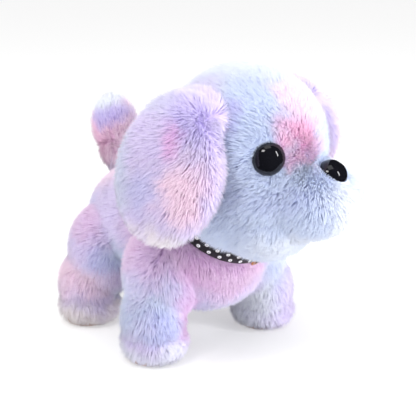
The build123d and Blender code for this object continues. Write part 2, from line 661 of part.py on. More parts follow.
def ear(side, lift, back):
    """Flop ear beside the head: a padded oval flap, `back` along it, swung out by `lift`."""
    hang = Location((side * EAR_X, back, EAR_Z), (EAR_TILT, 0, 0))
    root = Location((side * EAR_PIVOT[0], EAR_PIVOT[1], EAR_PIVOT[2]))
    swing = root * Location((0, 0, 0), (0, -side * lift, 0)) * root.inverse()
    with BuildPart() as flap:
        with BuildSketch(Plane.YZ.offset(-EAR_R[0])):
            Ellipse(EAR_R[1], EAR_R[2])
        extrude(amount=2 * EAR_R[0])
        fillet(flap.edges(), EAR_R[0] * 0.7)
    return flap.part.moved(HEAD_PLANE.location * swing * hang)


for side_name, side in SIDES.items():
    save(ear(side, EAR_LIFT[side_name], EAR_Y[side_name]), f"ear_{side_name}")

# ---- tail -------------------------------------------------------------------------------
with BuildPart() as tail_pin:
    add(bar((0, CASE_BACK - WALL, TAIL_PIVOT_Z), (0, 63.4, TAIL_PIVOT_Z), 1.5))
    add(bar((0, 63.4, TAIL_PIVOT_Z), (0, 64.4, TAIL_PIVOT_Z), 3))
save(tail_pin.part, "tail_pin")

with BuildPart() as tail_lever:
    add(bar((0, 60.6, TAIL_PIVOT_Z), (0, 63.2, TAIL_PIVOT_Z), 4.5))
    with Locations((0, 61.9, 80)):
        Box(6, 2.6, 34)
    add(bar((0, 61.9, 95), (0, 82, 114), 2.2))
    with Locations((0, 61.9, 66)):
        Box(2.6, 8, 4, mode=Mode.SUBTRACT)
    add(bar((0, 55, TAIL_PIVOT_Z), (0, 70, TAIL_PIVOT_Z), 1.55), mode=Mode.SUBTRACT)
save(tail_lever.part, "tail_lever")

with BuildPart() as tail_plush:
    with Locations(Location(TAIL_AT, (TAIL_LEAN, 0, 0))):
        add(ellipsoid(TAIL_R))
    add(tail_lever.part, mode=Mode.SUBTRACT)
save(tail_plush.part, "tail_plush")

# ---- body plush -------------------------------------------------------------------------
COLLAR_PLANE = Plane(
    origin=COLLAR_AT,
    x_dir=(1, 0, 0),
    z_dir=(sin(radians(COLLAR_LEAN)), -sin(radians(COLLAR_TILT)), cos(radians(COLLAR_TILT))),
)
with BuildPart(COLLAR_PLANE) as collar_groove:
    Cylinder(70, COLLAR_W + 2.6)
    Cylinder(COLLAR_R - 0.3, COLLAR_W + 2.6, mode=Mode.SUBTRACT)
with BuildPart() as body_plush:
    add(ellipsoid(RUMP_R).moved(Location(RUMP_AT)))
    add(ellipsoid(CHEST_R).moved(Location(CHEST_AT)))
    with Locations(HEAD_AT):
        Sphere(CUP_R, mode=Mode.SUBTRACT)
    add(collar_groove.part, mode=Mode.SUBTRACT)
    add(case_block(0.6, CASE_LOW - 0.6, CASE_TOP + 0.6, CASE_ROUND - 2, CASE_ROUND - 2), mode=Mode.SUBTRACT)
    with Locations((0, CRANK_Y, HIP_Z)):
        Box(73, 77, 18, mode=Mode.SUBTRACT)
    for side in SIDES.values():
        for y in (-18, 52):
            with Locations((side * 30.8, y, 42)):
                Box(11.6, 24, 50, mode=Mode.SUBTRACT)
    for end in ("front", "hind"):
        for side in SIDES.values():
            for egg in sleeve_eggs(side, end, (0.6, 3.5, 1.5), (0.6, 3.0, 2.0)):
                add(egg, mode=Mode.SUBTRACT)
    add(bar(NECK_FOOT - NECK_AXIS * 2, NECK_FOOT + NECK_AXIS * 30, 14), mode=Mode.SUBTRACT)
    with Locations((0, 66, 85)):
        Box(24, 14, 50, mode=Mode.SUBTRACT)
    with Locations((0, 22.5, 28)):
        Box(38, 69, 18, mode=Mode.SUBTRACT)
save(body_plush.part, "body_plush")

# ---- collar -----------------------------------------------------------------------------
with BuildPart(COLLAR_PLANE) as collar_ribbon:
    Cylinder(COLLAR_R + COLLAR_T, COLLAR_W)
    Cylinder(COLLAR_R, COLLAR_W, mode=Mode.SUBTRACT)
save(collar_ribbon.part, "collar_ribbon")

CLASP_TURN = radians(5)
CLASP_OUT = COLLAR_PLANE.x_dir * sin(CLASP_TURN) - COLLAR_PLANE.y_dir * cos(CLASP_TURN)
CLASP_PLANE = Plane(
    origin=COLLAR_PLANE.origin + CLASP_OUT * (COLLAR_R + COLLAR_T + 0.3),
    x_dir=COLLAR_PLANE.z_dir.cross(CLASP_OUT),
    z_dir=CLASP_OUT,
)
with BuildPart() as collar_clasp:
    with BuildSketch(CLASP_PLANE):
        RectangleRounded(5, 10.5, 0.8)
        RectangleRounded(2.4, 7.4, 0.5, mode=Mode.SUBTRACT)
    extrude(amount=1.2)
save(collar_clasp.part, "collar_clasp")
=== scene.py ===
"""Looks for the plush puppy: pile fur grown from shaped skins, glossy eyes and nose, a dotted
ribbon collar, and finished materials on every plastic, metal and rubber part of the frame."""

import json
import math

import bmesh
import bpy
import numpy as np
from mathutils import Matrix, Vector
from mathutils.kdtree import KDTree


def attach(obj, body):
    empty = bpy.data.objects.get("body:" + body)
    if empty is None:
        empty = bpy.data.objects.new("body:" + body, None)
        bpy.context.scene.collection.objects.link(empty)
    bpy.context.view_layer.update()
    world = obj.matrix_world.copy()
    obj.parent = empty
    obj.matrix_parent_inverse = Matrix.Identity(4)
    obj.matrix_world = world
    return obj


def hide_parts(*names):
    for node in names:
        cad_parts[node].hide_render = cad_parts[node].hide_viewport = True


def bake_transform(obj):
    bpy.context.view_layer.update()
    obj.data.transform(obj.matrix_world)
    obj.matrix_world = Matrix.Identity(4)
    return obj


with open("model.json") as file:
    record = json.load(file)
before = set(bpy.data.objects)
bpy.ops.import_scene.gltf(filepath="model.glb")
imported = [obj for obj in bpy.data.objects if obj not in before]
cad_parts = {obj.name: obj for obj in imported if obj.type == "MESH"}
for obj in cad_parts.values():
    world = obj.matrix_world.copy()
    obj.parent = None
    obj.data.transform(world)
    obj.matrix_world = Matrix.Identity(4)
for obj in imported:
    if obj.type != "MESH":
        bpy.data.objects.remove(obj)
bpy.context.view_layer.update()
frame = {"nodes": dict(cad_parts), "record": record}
MM = 0.001
X = Vector((1, 0, 0))

# ---- places the frame shares with these pieces, millimetres ------------------------------
NECK_TILT, NECK_LEN = math.radians(24), 54.5
NECK_FOOT = Vector((0, -24, 78))
HEAD_AT = NECK_FOOT + Vector((0, -math.sin(NECK_TILT), math.cos(NECK_TILT))) * NECK_LEN
HEAD_TURN = math.radians(28)
ROW = Matrix.Translation(Vector((0, 7.3, 0)))
HEAD = ROW @ Matrix.Translation(HEAD_AT) @ Matrix.Rotation(HEAD_TURN, 4, "Z")
FOOT_X = 43
FOOT_Y = {"front": -20.5, "hind": 53.5}
SIDES = {"left": 1, "right": -1}
EYE_DIR, EYE_SEAT, EYE_R, EYE_HIGH = Vector((30.9, -30.5, 0.5)), 41.9, 9.3, 7.8
NOSE_AT, NOSE_R, NOSE_OUT = Vector((0, -55, -13)), (10.2, 9.0, 8.8), Vector((0, -0.82, 0.57))
STRANDS_PER_PIECE = 19500


def srgb(r, g, b):
    """Display colour, 0 to 255, as scene-linear RGBA."""
    lin = [c / 12.92 if c <= 0.04045 else ((c + 0.055) / 1.055) ** 2.4 for c in (r / 255, g / 255, b / 255)]
    return (*lin, 1.0)


# ---- node helpers ------------------------------------------------------------------------
class Tree:
    """A material's node tree, with short calls that add a node and link its inputs."""

    def __init__(self, name):
        self.material = bpy.data.materials.new(name)
        self.material.use_nodes = True
        self.nodes = self.material.node_tree.nodes
        self.links = self.material.node_tree.links
        self.shader = self.nodes["Principled BSDF"]

    def node(self, kind, inputs=(), **settings):
        made = self.nodes.new(kind)
        for key, value in settings.items():
            setattr(made, key, value)
        for key, value in dict(inputs).items():
            if isinstance(value, bpy.types.NodeSocket):
                self.links.new(value, made.inputs[key])
            else:
                made.inputs[key].default_value = value
        return made

    def attribute(self, name, out="Fac"):
        return self.node("ShaderNodeAttribute", attribute_name=name).outputs[out]

    def math(self, operation, a, b=0.0):
        return self.node("ShaderNodeMath", {0: a, 1: b}, operation=operation).outputs[0]

    def vector(self, operation, a, b=(0, 0, 0), out="Vector"):
        return self.node("ShaderNodeVectorMath", {0: a, 1: b}, operation=operation).outputs[out]

    def remap(self, value, low, high, to_low=0.0, to_high=1.0, smooth=False):
        kind = "SMOOTHSTEP" if smooth else "LINEAR"
        given = {0: value, 1: low, 2: high, 3: to_low, 4: to_high}
        made = self.node("ShaderNodeMapRange", given, interpolation_type=kind)
        return made.outputs[0]

    def noise(self, point, scale, detail=2.0, rough=0.5, out="Fac"):
        given = {"Vector": point, "Scale": scale, "Detail": detail, "Roughness": rough}
        return self.node("ShaderNodeTexNoise", given).outputs[out]

    def mix(self, factor, a, b, blend="MIX"):
        made = self.node("ShaderNodeMix", data_type="RGBA", blend_type=blend, clamp_factor=True)
        for index, value in ((0, factor), (6, a), (7, b)):
            if isinstance(value, bpy.types.NodeSocket):
                self.links.new(value, made.inputs[index])
            else:
                made.inputs[index].default_value = value
        return made.outputs[2]

    def bump(self, height, strength, distance):
        given = {"Height": height, "Strength": strength, "Distance": distance}
        self.links.new(self.node("ShaderNodeBump", given).outputs[0], self.shader.inputs["Normal"])

    def set(self, **sockets):
        for key, value in sockets.items():
            socket = self.shader.inputs[key.replace("_", " ")]
            if isinstance(value, bpy.types.NodeSocket):
                self.links.new(value, socket)
            else:
                socket.default_value = value
        return self.material


# ---- pile material -----------------------------------------------------------------------
WHITE_BLUE, SKY, PERI = srgb(236, 241, 252), srgb(202, 216, 246), srgb(188, 194, 244)
LILAC, VIOLET, PINK = srgb(220, 206, 246), srgb(182, 172, 240), srgb(254, 220, 243)
MAGENTA, MAUVE, IVORY = srgb(232, 176, 232), srgb(228, 186, 226), srgb(250, 240, 238)
GREY_BLUE, HOT_PINK = srgb(204, 210, 236), srgb(253, 190, 228)


def pile_material(name, base, patches):
    """Tie-dyed pile: soft colour patches by place, painted shade darkening the roots, painted light paling the tips,
    strands of uneven tone.
    """
    t = Tree(name)
    root = t.attribute("root", "Vector")
    drift = t.vector("SUBTRACT", t.noise(root, 0.045, 2.0, 0.5, "Color"), (0.5, 0.5, 0.5))
    fine = t.vector("SUBTRACT", t.noise(root, 0.22, 1.0, 0.5, "Color"), (0.5, 0.5, 0.5))
    place = t.vector("ADD", root, t.vector("MULTIPLY", drift, (26, 26, 26)))
    place = t.vector("ADD", place, t.vector("MULTIPLY", fine, (7, 7, 7)))
    colour = base
    for at, size, tint, strength in patches:
        reach = t.vector("DIVIDE", t.vector("SUBTRACT", place, at), size)
        reach = t.vector("LENGTH", reach, out="Value")
        colour = t.mix(t.remap(reach, 1.25, 0.35, 0.0, strength, smooth=True), colour, tint)
    along = t.attribute("along")
    tone = t.attribute("tone")
    # painted shade: the roots are darkened where shade falls between the strands
    painted_root_shade = t.mix(1.0, colour, (0.90, 0.87, 0.95, 1), "MULTIPLY")
    colour = t.mix(t.remap(along, 0.1, 0.6, 0.0, 1.0), painted_root_shade, colour)
    # painted light: the tips are mixed towards white
    colour = t.mix(t.remap(along, 0.45, 1.0, 0.0, 0.30), colour, (0.97, 0.97, 1.0, 1))
    shade = t.remap(tone, 0.0, 1.0, 0.965, 1.04)
    shade = t.node("ShaderNodeCombineColor", {0: shade, 1: shade, 2: shade}).outputs[0]
    colour = t.mix(1.0, colour, shade, "MULTIPLY")
    t.set(Base_Color=colour, Roughness=t.remap(tone, 0, 1, 0.62, 0.82), Sheen_Weight=0.25,
          Sheen_Roughness=0.45, Specular_IOR_Level=0.25)
    return t.material


# ---- skins -------------------------------------------------------------------------------
def placed(at, tilt_x=0.0, tilt_y=0.0, frame_matrix=ROW):
    """Pose of one lump: at a point of the frame, tilted about X then Y, in degrees."""
    turn = Matrix.Rotation(math.radians(tilt_y), 4, "Y") @ Matrix.Rotation(math.radians(tilt_x), 4, "X")
    return frame_matrix @ Matrix.Translation(Vector(at)) @ turn


def merged_skin(name, lumps, voxel=1.7, smoothing=12):
    """One smooth closed skin round a list of (pose, radii) ellipsoids, in metres."""
    bm = bmesh.new()
    for pose, radii in lumps:
        size = Matrix.Diagonal((*radii, 1.0))
        bmesh.ops.create_icosphere(bm, subdivisions=4, radius=1.0, matrix=Matrix.Scale(MM, 4) @ pose @ size)
    rough = bpy.data.meshes.new(name + "_rough")
    bm.to_mesh(rough)
    bm.free()
    maker = bpy.data.objects.new(name + "_rough", rough)
    bpy.context.scene.collection.objects.link(maker)
    remesh = maker.modifiers.new("merge", "REMESH")
    remesh.mode = "VOXEL"
    remesh.voxel_size = voxel * MM
    smooth = maker.modifiers.new("smooth", "SMOOTH")
    smooth.factor = 0.5
    smooth.iterations = smoothing
    bpy.context.view_layer.update()
    mesh = bpy.data.meshes.new_from_object(maker.evaluated_get(bpy.context.evaluated_depsgraph_get()))
    bpy.data.objects.remove(maker)
    mesh.name = name
    return mesh


def coordinates(mesh):
    co = np.empty(len(mesh.vertices) * 3, np.float32)
    mesh.vertices.foreach_get("co", co)
    return co.reshape(-1, 3).astype(float)


def normals(mesh):
    out = np.empty(len(mesh.vertices) * 3, np.float32)
    mesh.vertex_normals.foreach_get("vector", out)
    return out.reshape(-1, 3).astype(float)


def set_coordinates(mesh, co):
    mesh.vertices.foreach_set("co", np.ascontiguousarray(co, np.float32).ravel())
    mesh.update()


def part_of(mesh, name, wanted):
    """The faces of a skin whose middles satisfy `wanted`, as a mesh of their own."""
    bm = bmesh.new()
    bm.from_mesh(mesh)
    bm.faces.ensure_lookup_table()
    middles = local_mm(np.array([f.calc_center_median() for f in bm.faces]), ROW)
    keep = wanted(middles[:, 0], middles[:, 1], middles[:, 2])
    bmesh.ops.delete(bm, geom=[f for f, k in zip(bm.faces, keep) if not k], context="FACES")
    piece = bpy.data.meshes.new(name)
    bm.to_mesh(piece)
    bm.free()
    return piece


def local_mm(co, frame_matrix):
    """Row-frame metres as millimetres in a frame such as the head's."""
    back = np.array(frame_matrix.inverted())
    return co / MM @ back[:3, :3].T + back[:3, 3]


def float_attribute(mesh, name, values, kind="FLOAT"):
    data = mesh.attributes.new(name, kind, "POINT").data
    field = "vector" if kind == "FLOAT_VECTOR" else "value"
    data.foreach_set(field, np.ascontiguousarray(values, np.float32).ravel())


def show(mesh, name, material):
    """Link a finished mesh as a named piece."""
    mesh.materials.clear()
    mesh.materials.append(material)
    obj = bpy.data.objects.new(name, mesh)
    bpy.context.scene.collection.objects.link(obj)
    return obj


def backing(mesh, name, material, frame_matrix):
    """The knitted backing under the pile, coloured as the pile's roots, with part of their painted shade."""
    co = coordinates(mesh)
    float_attribute(mesh, "root", local_mm(co, frame_matrix), "FLOAT_VECTOR")
    # along 0.4 brings part of the painted root shade onto the backing
    float_attribute(mesh, "along", np.full(len(co), 0.4))
    float_attribute(mesh, "tone", np.full(len(co), 0.5))
    for polygon in mesh.polygons:
        polygon.use_smooth = True
    return show(mesh, name, material)


# ---- pile --------------------------------------------------------------------------------
def unit(v):
    return v / np.maximum(np.linalg.norm(v, axis=-1, keepdims=True), 1e-9)


def swirl(p, scale, seed):
    """Smooth vector noise: a few crossed sine waves."""
    rng = np.random.default_rng(seed)
    out = np.zeros_like(p)
    for k in range(6):
        way = rng.normal(size=(3, 3)) * (scale * (1 + 0.35 * k))
        out += np.sin(p @ way + rng.uniform(0, 6.28, 3)) / (1 + 0.5 * k)
    return out * 0.4


def scatter(mesh, density, rng):
    """Points spread evenly over a skin, with its smooth normals, in metres."""
    mesh.calc_loop_triangles()
    tri = np.empty(len(mesh.loop_triangles) * 3, np.int32)
    mesh.loop_triangles.foreach_get("vertices", tri)
    tri = tri.reshape(-1, 3)
    co, no = coordinates(mesh), normals(mesh)
    a, b, c = co[tri[:, 0]], co[tri[:, 1]], co[tri[:, 2]]
    area = np.linalg.norm(np.cross(b - a, c - a), axis=1) / 2 / MM**2
    chosen = np.repeat(np.arange(len(tri)), rng.poisson(area * density))
    u, v = rng.random((2, len(chosen)))
    over = u + v > 1
    u[over], v[over] = 1 - u[over], 1 - v[over]
    w = np.stack([1 - u - v, u, v], 1)[:, :, None]
    return (co[tri[chosen]] * w).sum(1), unit((no[tri[chosen]] * w).sum(1))


def grow(p, n, flow, rng, length=7.6, lift=0.56, clumping=0.20, width=0.17, swirling=0.30, floor=0.0):
    """Root, middle and tip points of strands. Flow is the way the pile is brushed."""
    count = len(p)
    q = p / MM
    brushed = flow + swirl(q, 0.09, 11) * swirling + swirl(q, 0.35, 12) * swirling * 0.5
    brushed = unit(brushed - (brushed * n).sum(1, keepdims=True) * n)
    side = np.cross(n, brushed)
    brushed = unit(brushed + side * rng.normal(0, 0.16, (count, 1)))
    long = (length * rng.uniform(0.78, 1.12, (count, 1)))
    rise = np.clip(lift + rng.normal(0, 0.07, (count, 1)), 0.15, 0.98)
    low = unit(n * (rise + 0.25) + brushed * (1 - rise))
    high = unit(n * (rise - 0.12) + brushed * (1.1 - rise))
    middle = q + low * long * 0.5
    tip = middle + high * long * 0.5
    tree = KDTree(max(1, count // 9))
    picked = rng.choice(count, max(1, count // 9), replace=False)
    for i, k in enumerate(picked):
        tree.insert(q[k], i)
    tree.balance()
    nearest = picked[[tree.find(point)[1] for point in q]]
    gather = clumping * rng.uniform(0.6, 1.2, (count, 1))
    tip += (tip[nearest] - tip) * gather
    middle += (middle[nearest] - middle) * gather * 0.35
    if floor:
        tip[:, 2] = np.maximum(tip[:, 2], floor)
        middle[:, 2] = np.maximum(middle[:, 2], floor)
    return q - n * 0.9, middle, tip, n, width * rng.uniform(0.8, 1.2, (count, 1)), nearest


def strand_mesh(name, base, middle, tip, n, width, tone, frame_matrix):
    """Closed three-sided tapering strands as one mesh, each with its own patch of UV."""
    count = len(base)
    run = unit(tip - base)
    s1 = unit(np.cross(run, n + 0.31 * np.roll(n, 1, axis=1) + 1e-3))
    s2 = np.cross(run, s1)
    rings, sides = [], []
    for k in range(3):
        angle = 2.094395 * k
        out = s1 * math.cos(angle) + s2 * math.sin(angle)
        rings.append((base + out * width, middle + out * width * 0.85))
        sides.append(out)
    points = np.stack([rings[0][0], rings[1][0], rings[2][0], rings[0][1], rings[1][1], rings[2][1], tip], 1)
    faces = [(2, 1, 0)]
    for k in range(3):
        j = (k + 1) % 3
        faces += [(k, j, 3 + j), (k, 3 + j, 3 + k), (3 + k, 3 + j, 6)]
    corner = (np.arange(count)[:, None, None] * 7 + np.array(faces)[None]).reshape(-1).astype(np.int32)
    mesh = bpy.data.meshes.new(name)
    mesh.vertices.add(count * 7)
    mesh.loops.add(len(corner))
    mesh.polygons.add(len(corner) // 3)
    mesh.vertices.foreach_set("co", (points.reshape(-1, 3) * MM).astype(np.float32).ravel())
    mesh.loops.foreach_set("vertex_index", corner)
    mesh.polygons.foreach_set("loop_start", np.arange(0, len(corner), 3, dtype=np.int32))
    mesh.polygons.foreach_set("use_smooth", np.ones(len(corner) // 3, bool))
    mesh.update(calc_edges=True)
    soft = [unit(side * 0.55 + n * 0.85) for side in sides]
    shading = np.stack([*soft, *soft, unit(n + run * 0.2)], 1).reshape(-1, 3)
    mesh.normals_split_custom_set_from_vertices(shading.astype(np.float32))
    float_attribute(mesh, "root", np.repeat(local_mm(base * MM, frame_matrix), 7, 0), "FLOAT_VECTOR")
    float_attribute(mesh, "along", np.tile([0, 0, 0, 0.5, 0.5, 0.5, 1.0], count))
    float_attribute(mesh, "tone", np.repeat(tone, 7))
    cells = math.ceil(math.sqrt(count))
    cell = np.stack([np.arange(count) % cells, np.arange(count) // cells], 1) / cells
    spot = np.array([(0.15, 0.1), (0.5, 0.1), (0.85, 0.1),
                     (0.2, 0.5), (0.5, 0.5), (0.8, 0.5), (0.5, 0.92)]) / cells
    uv = (cell[:, None] + spot[None]).reshape(-1, 2)[corner]
    mesh.uv_layers.new(name="OFBake").data.foreach_set("uv", uv.astype(np.float32).ravel())
    return mesh


def pile(name, skin, flow_at, material, density, seed, frame_matrix=ROW, trim=None, **style):
    """Pile over a skin, cut into pieces small enough to export whole. Returns the pieces."""
    rng = np.random.default_rng(seed)
    p, n = scatter(skin, density, rng)
    place = local_mm(p, frame_matrix)
    turn = np.array(frame_matrix)[:3, :3]
    flow = unit(flow_at(place)) @ turn.T
    scale = np.ones(len(p))
    if trim:
        scale, push = trim(place)
        flow = unit(flow + push @ turn.T)
    stay = scale > 0.05
    p, n, flow, scale = p[stay], n[stay], flow[stay], scale[stay][:, None]
    base, middle, tip, n, width, nearest = grow(p, n, flow, rng, **style)
    root = p / MM
    middle = root + (middle - root) * scale
    tip = root + (tip - root) * scale
    tone = np.clip(0.5 * rng.random(len(p)) + 0.5 * rng.random(len(p))[nearest], 0, 1)
    order = np.argsort((root @ np.array([0.3, 0.9, 0.2])), kind="stable")
    pieces = []
    parts = max(1, math.ceil(len(p) / STRANDS_PER_PIECE))
    for k, some in enumerate(np.array_split(order, parts)):
        label = f"{name}_{k + 1}" if parts > 1 else name
        mesh = strand_mesh(label, base[some], middle[some], tip[some], n[some], width[some], tone[some],
                           frame_matrix)
        pieces.append(show(mesh, label, material))
    return pieces


DENSITY = 3.5

# ---- the collar's ring, which the body's skin draws in under -----------------------------
COLLAR_AT, COLLAR_R = Vector((6, -25, 86)), 38.0
COLLAR_TILT, COLLAR_LEAN = math.radians(41), math.radians(6)
COLLAR_Z = Vector((math.sin(COLLAR_LEAN), -math.sin(COLLAR_TILT), math.cos(COLLAR_TILT))).normalized()
COLLAR_Y = COLLAR_Z.cross(X).normalized()
COLLAR_X = COLLAR_Y.cross(COLLAR_Z)


def ring_point(turn, up, extra):
    """A point of the collar, `up` across its width and `extra` outside its inner face."""
    way = COLLAR_X * math.cos(turn) + COLLAR_Y * math.sin(turn)
    return ROW @ (COLLAR_AT + COLLAR_Z * up + way * (COLLAR_R + extra))


def ring_place(p):
    """Height over the collar's plane and distance from its axis, of points of the row."""
    away = p - np.array(COLLAR_AT)
    up = away @ np.array(COLLAR_Z)
    return up, away - up[:, None] * np.array(COLLAR_Z)


def cinch(mesh):
    """Draw the skin in under the ribbon, with a soft shoulder above and below it."""
    co = coordinates(mesh)
    place = local_mm(co, ROW)
    up, flat = ring_place(place)
    far = np.linalg.norm(flat, axis=1)
    allowed = COLLAR_R - 2.2 + np.clip(abs(up) - 4.0, 0, None) ** 1.25 * 0.9
    pulled = np.minimum(far, allowed)
    place += flat * ((pulled / np.maximum(far, 1e-6)) - 1)[:, None]
    back = np.array(ROW)
    set_coordinates(mesh, (place @ back[:3, :3].T + back[:3, 3]) * MM)


# ---- body and legs -----------------------------------------------------------------------
BODY_LUMPS = [
    (placed((0, 27, 67)), (38, 54.5, 33)),
    (placed((0, -20, 66)), (38.5, 32, 32)),
    (placed((0, -21, 47)), (31, 24, 20)),
    (placed((0, 15, 43)), (29, 50, 13)),
]
for side in SIDES.values():
    BODY_LUMPS += [
        (placed((side * 33.5, -18, 50)), (18.5, 20, 27)),
        (placed((side * 33, 46, 48)), (18.5, 21, 26)),
    ]
    for foot_y in FOOT_Y.values():
        BODY_LUMPS += [
            (placed((side * (FOOT_X - 0.5), foot_y - 1, 25)), (15.2, 16, 20)),
            (placed((side * (FOOT_X - 0.5), foot_y - 1.5, 11)), (16.4, 17.2, 9.5)),
        ]
body_skin = merged_skin("body_skin", BODY_LUMPS, smoothing=26)
cinch(body_skin)

# pile colours: dye patches plus painted root shade and painted tip light
BODY_DYE_AND_SHADE = pile_material("pile_body", LILAC, [
    ((0, 60, 95), (45, 30, 22), PINK, 0.8),
    ((-40, 62, 82), (16, 16, 14), PERI, 0.75),
    ((-40, 55, 66), (20, 22, 10), MAUVE, 0.8),
    ((-40, 34, 47), (16, 12, 12), PERI, 0.8),
    ((-38, 18, 50), (16, 14, 16), SKY, 0.9),
    ((-30, -20, 75), (26, 34, 30), MAUVE, 0.9),
    ((-5, -48, 58), (34, 22, 30), MAUVE, 0.9),
    ((-28, -40, 55), (14, 12, 11), MAGENTA, 0.7),
    ((10, -52, 62), (12, 14, 16), PINK, 0.6),
    ((38, -25, 60), (22, 40, 40), SKY, 0.9),
    ((0, 10, 32), (30, 60, 12), SKY, 0.85),
    ((-46, -20, 32), (16, 24, 24), SKY, 0.95),
    ((-44, -34, 24), (12, 14, 13), PERI, 0.7),
    ((-27, -32, 26), (9, 22, 26), MAGENTA, 0.75),
    ((-46, -24, 6), (24, 26, 9), WHITE_BLUE, 0.8),
    ((-44, 56, 34), (26, 28, 16), PINK, 1.0),
    ((-45, 54, 10), (26, 26, 14), IVORY, 1.0),
    ((-28, 46, 26), (10, 20, 22), GREY_BLUE, 0.8),
    ((34, -22, 20), (14, 24, 28), WHITE_BLUE, 0.95),
    ((52, -22, 22), (12, 24, 26), LILAC, 0.9),
    ((42, 55, 40), (24, 26, 18), SKY, 0.85),
    ((44, 54, 12), (24, 26, 13), PINK, 0.75),
    ((42, 34, 72), (20, 26, 20), PINK, 0.7),
])


def leg_zone(side, foot_y):
    return lambda x, y, z: (z < 40) & (x * side > 21) & (abs(y - foot_y) < 30)


def body_zone(x, y, z):
    outside = np.ones(len(x), bool)
    for side in SIDES.values():
        for foot_y in FOOT_Y.values():
            outside &= ~leg_zone(side, foot_y)(x, y, z)
    window = (abs(x) < 18) & (y > -11) & (y < 56) & (z < 45)
    throat = (y < -30) & (z > 92)
    return outside & ~window & ~throat


def body_flow(p):
    """Down and back over the body, a little out to each side."""
    back = np.clip((p[:, 2] - 30) / 40, 0, 1)
    return np.stack([0.1 * np.sign(p[:, 0]), 0.25 + 0.5 * back * (p[:, 1] > -30), -1.15 + 0.35 * back], 1)


def leg_flow(side, foot_y):
    """Down the leg, fanning out round the foot."""
    def flow(p):
        fan = np.clip((30 - p[:, 2]) / 22, 0, 1)
        out = np.stack([p[:, 0] - side * FOOT_X, p[:, 1] - foot_y], 1) / 17
        return np.stack([out[:, 0] * fan, out[:, 1] * fan, np.full_like(fan, -0.9)], 1)
    return flow


def body_trim(p):
    """Shorter at the edge of the belly window and under the collar."""
    gap = np.maximum(abs(p[:, 0]) - 18, abs(p[:, 1] - 22.5) - 33.5)
    near = np.where(p[:, 2] < 46, np.clip(gap / 6, 0.25, 1), 1.0)
    up, _ = ring_place(p)
    scale = np.minimum(near, np.clip((abs(up) - 3.8) / 4.5, 0.12, 1))
    push = np.sign(up)[:, None] * np.array(COLLAR_Z) * np.clip(1.6 - abs(up)[:, None] / 8, 0, 1)
    return scale, push


body = backing(part_of(body_skin, "body_backing", body_zone), "body_backing", BODY_DYE_AND_SHADE, ROW)
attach(body, "chassis")
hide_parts("body_plush")
for tuft in pile("body_pile", body.data, body_flow, BODY_DYE_AND_SHADE, DENSITY, 21, trim=body_trim, floor=1.0):
    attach(tuft, "chassis")

for end, foot_y in FOOT_Y.items():
    for side_name, side in SIDES.items():
        tag = f"{end}_{side_name}"
        skin = part_of(body_skin, f"leg_backing_{tag}", leg_zone(side, foot_y))
        leg = backing(skin, f"leg_backing_{tag}", BODY_DYE_AND_SHADE, ROW)
        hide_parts(f"leg_plush_{tag}")
        hairs = pile(f"leg_pile_{tag}", leg.data, leg_flow(side, foot_y), BODY_DYE_AND_SHADE, DENSITY * 1.05,
                     31 + 3 * len(end) + side, floor=0.5, length=7.2)
        for piece in [leg, *hairs]:
            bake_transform(piece)

# ---- tail --------------------------------------------------------------------------------
TAIL_AT = (0, 82.5, 118)
tail_skin = merged_skin("tail_backing", [
    (placed(TAIL_AT, -12), (11, 12, 18.5)),
    (placed((0, 78, 106), -30), (10, 10.5, 14)),
    (placed((0, 70, 96), -45), (8, 8.5, 13)),
], voxel=1.3, smoothing=6)
TAIL_DYE_AND_SHADE = pile_material("pile_tail", PINK, [
    ((0, 84, 134), (20, 16, 12), WHITE_BLUE, 1.0),
    ((-4, 76, 124), (14, 12, 8), VIOLET, 0.75),
    ((-6, 84, 112), (12, 12, 12), HOT_PINK, 0.6),
    ((0, 72, 98), (14, 10, 8), PERI, 0.6),
])


def tail_flow(p):
    up = np.clip((p[:, 2] - 100) / 30, 0, 1)[:, None]
    out = p - np.array(TAIL_AT)
    return unit(out) * 0.8 + np.array([0, 0.25, 0.9]) * (0.4 + 0.6 * up)


tail = backing(tail_skin, "tail_backing", TAIL_DYE_AND_SHADE, ROW)
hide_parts("tail_plush")
for piece in [tail, *pile("tail_pile", tail.data, tail_flow, TAIL_DYE_AND_SHADE, DENSITY * 1.1, 71, length=7.0)]:
    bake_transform(piece)

# ---- head --------------------------------------------------------------------------------
head_skin = merged_skin("head_backing", [
    (placed((0, -5, 1), frame_matrix=HEAD), (39.5, 41.5, 40.5)),
    (placed((0, 8, -3), frame_matrix=HEAD), (36.5, 32, 35)),
    (placed((0, -15, -20), frame_matrix=HEAD), (37.5, 35, 27)),
    (placed((0, -18, -34), frame_matrix=HEAD), (33, 28, 26)),
    (placed((0, -4, -29), frame_matrix=HEAD), (36, 30, 28)),
    (placed((0, -38, -26), frame_matrix=HEAD), (27.5, 31, 20)),
    (placed((0, -35, -13), 18, frame_matrix=HEAD), (12, 14, 7)),
], voxel=1.6, smoothing=9)
HEAD_DYE_AND_SHADE = pile_material("pile_head", SKY, [
    ((0, 10, 46), (40, 40, 22), WHITE_BLUE, 0.6),
    ((-30, 14, 34), (20, 22, 16), LILAC, 0.8),
    ((-4, -38, 26), (19, 18, 22), PINK, 1.0),
    ((-17, -41, 9), (13, 13, 11), HOT_PINK, 1.0),
    ((-9, -50, 0), (12, 12, 8), HOT_PINK, 0.7),
    ((-28, -40, -20), (22, 24, 9), PERI, 0.25),
    # painted crease shade: violet where the ear's front edge meets the head
    ((-36, -10, 24), (9, 10, 15), VIOLET, 0.7),
    ((0, -66, -26), (26, 16, 16), WHITE_BLUE, 0.9),
    ((-10, -40, -46), (40, 34, 10), WHITE_BLUE, 0.6),
    # painted shade: grey-blue on the far side of the forehead, beyond the pink ridge
    ((24, -34, 20), (10, 14, 18), GREY_BLUE, 0.8),
    ((40, -24, -18), (24, 26, 16), LILAC, 0.8),
    ((10, 44, 6), (40, 20, 34), LILAC, 0.7),
])


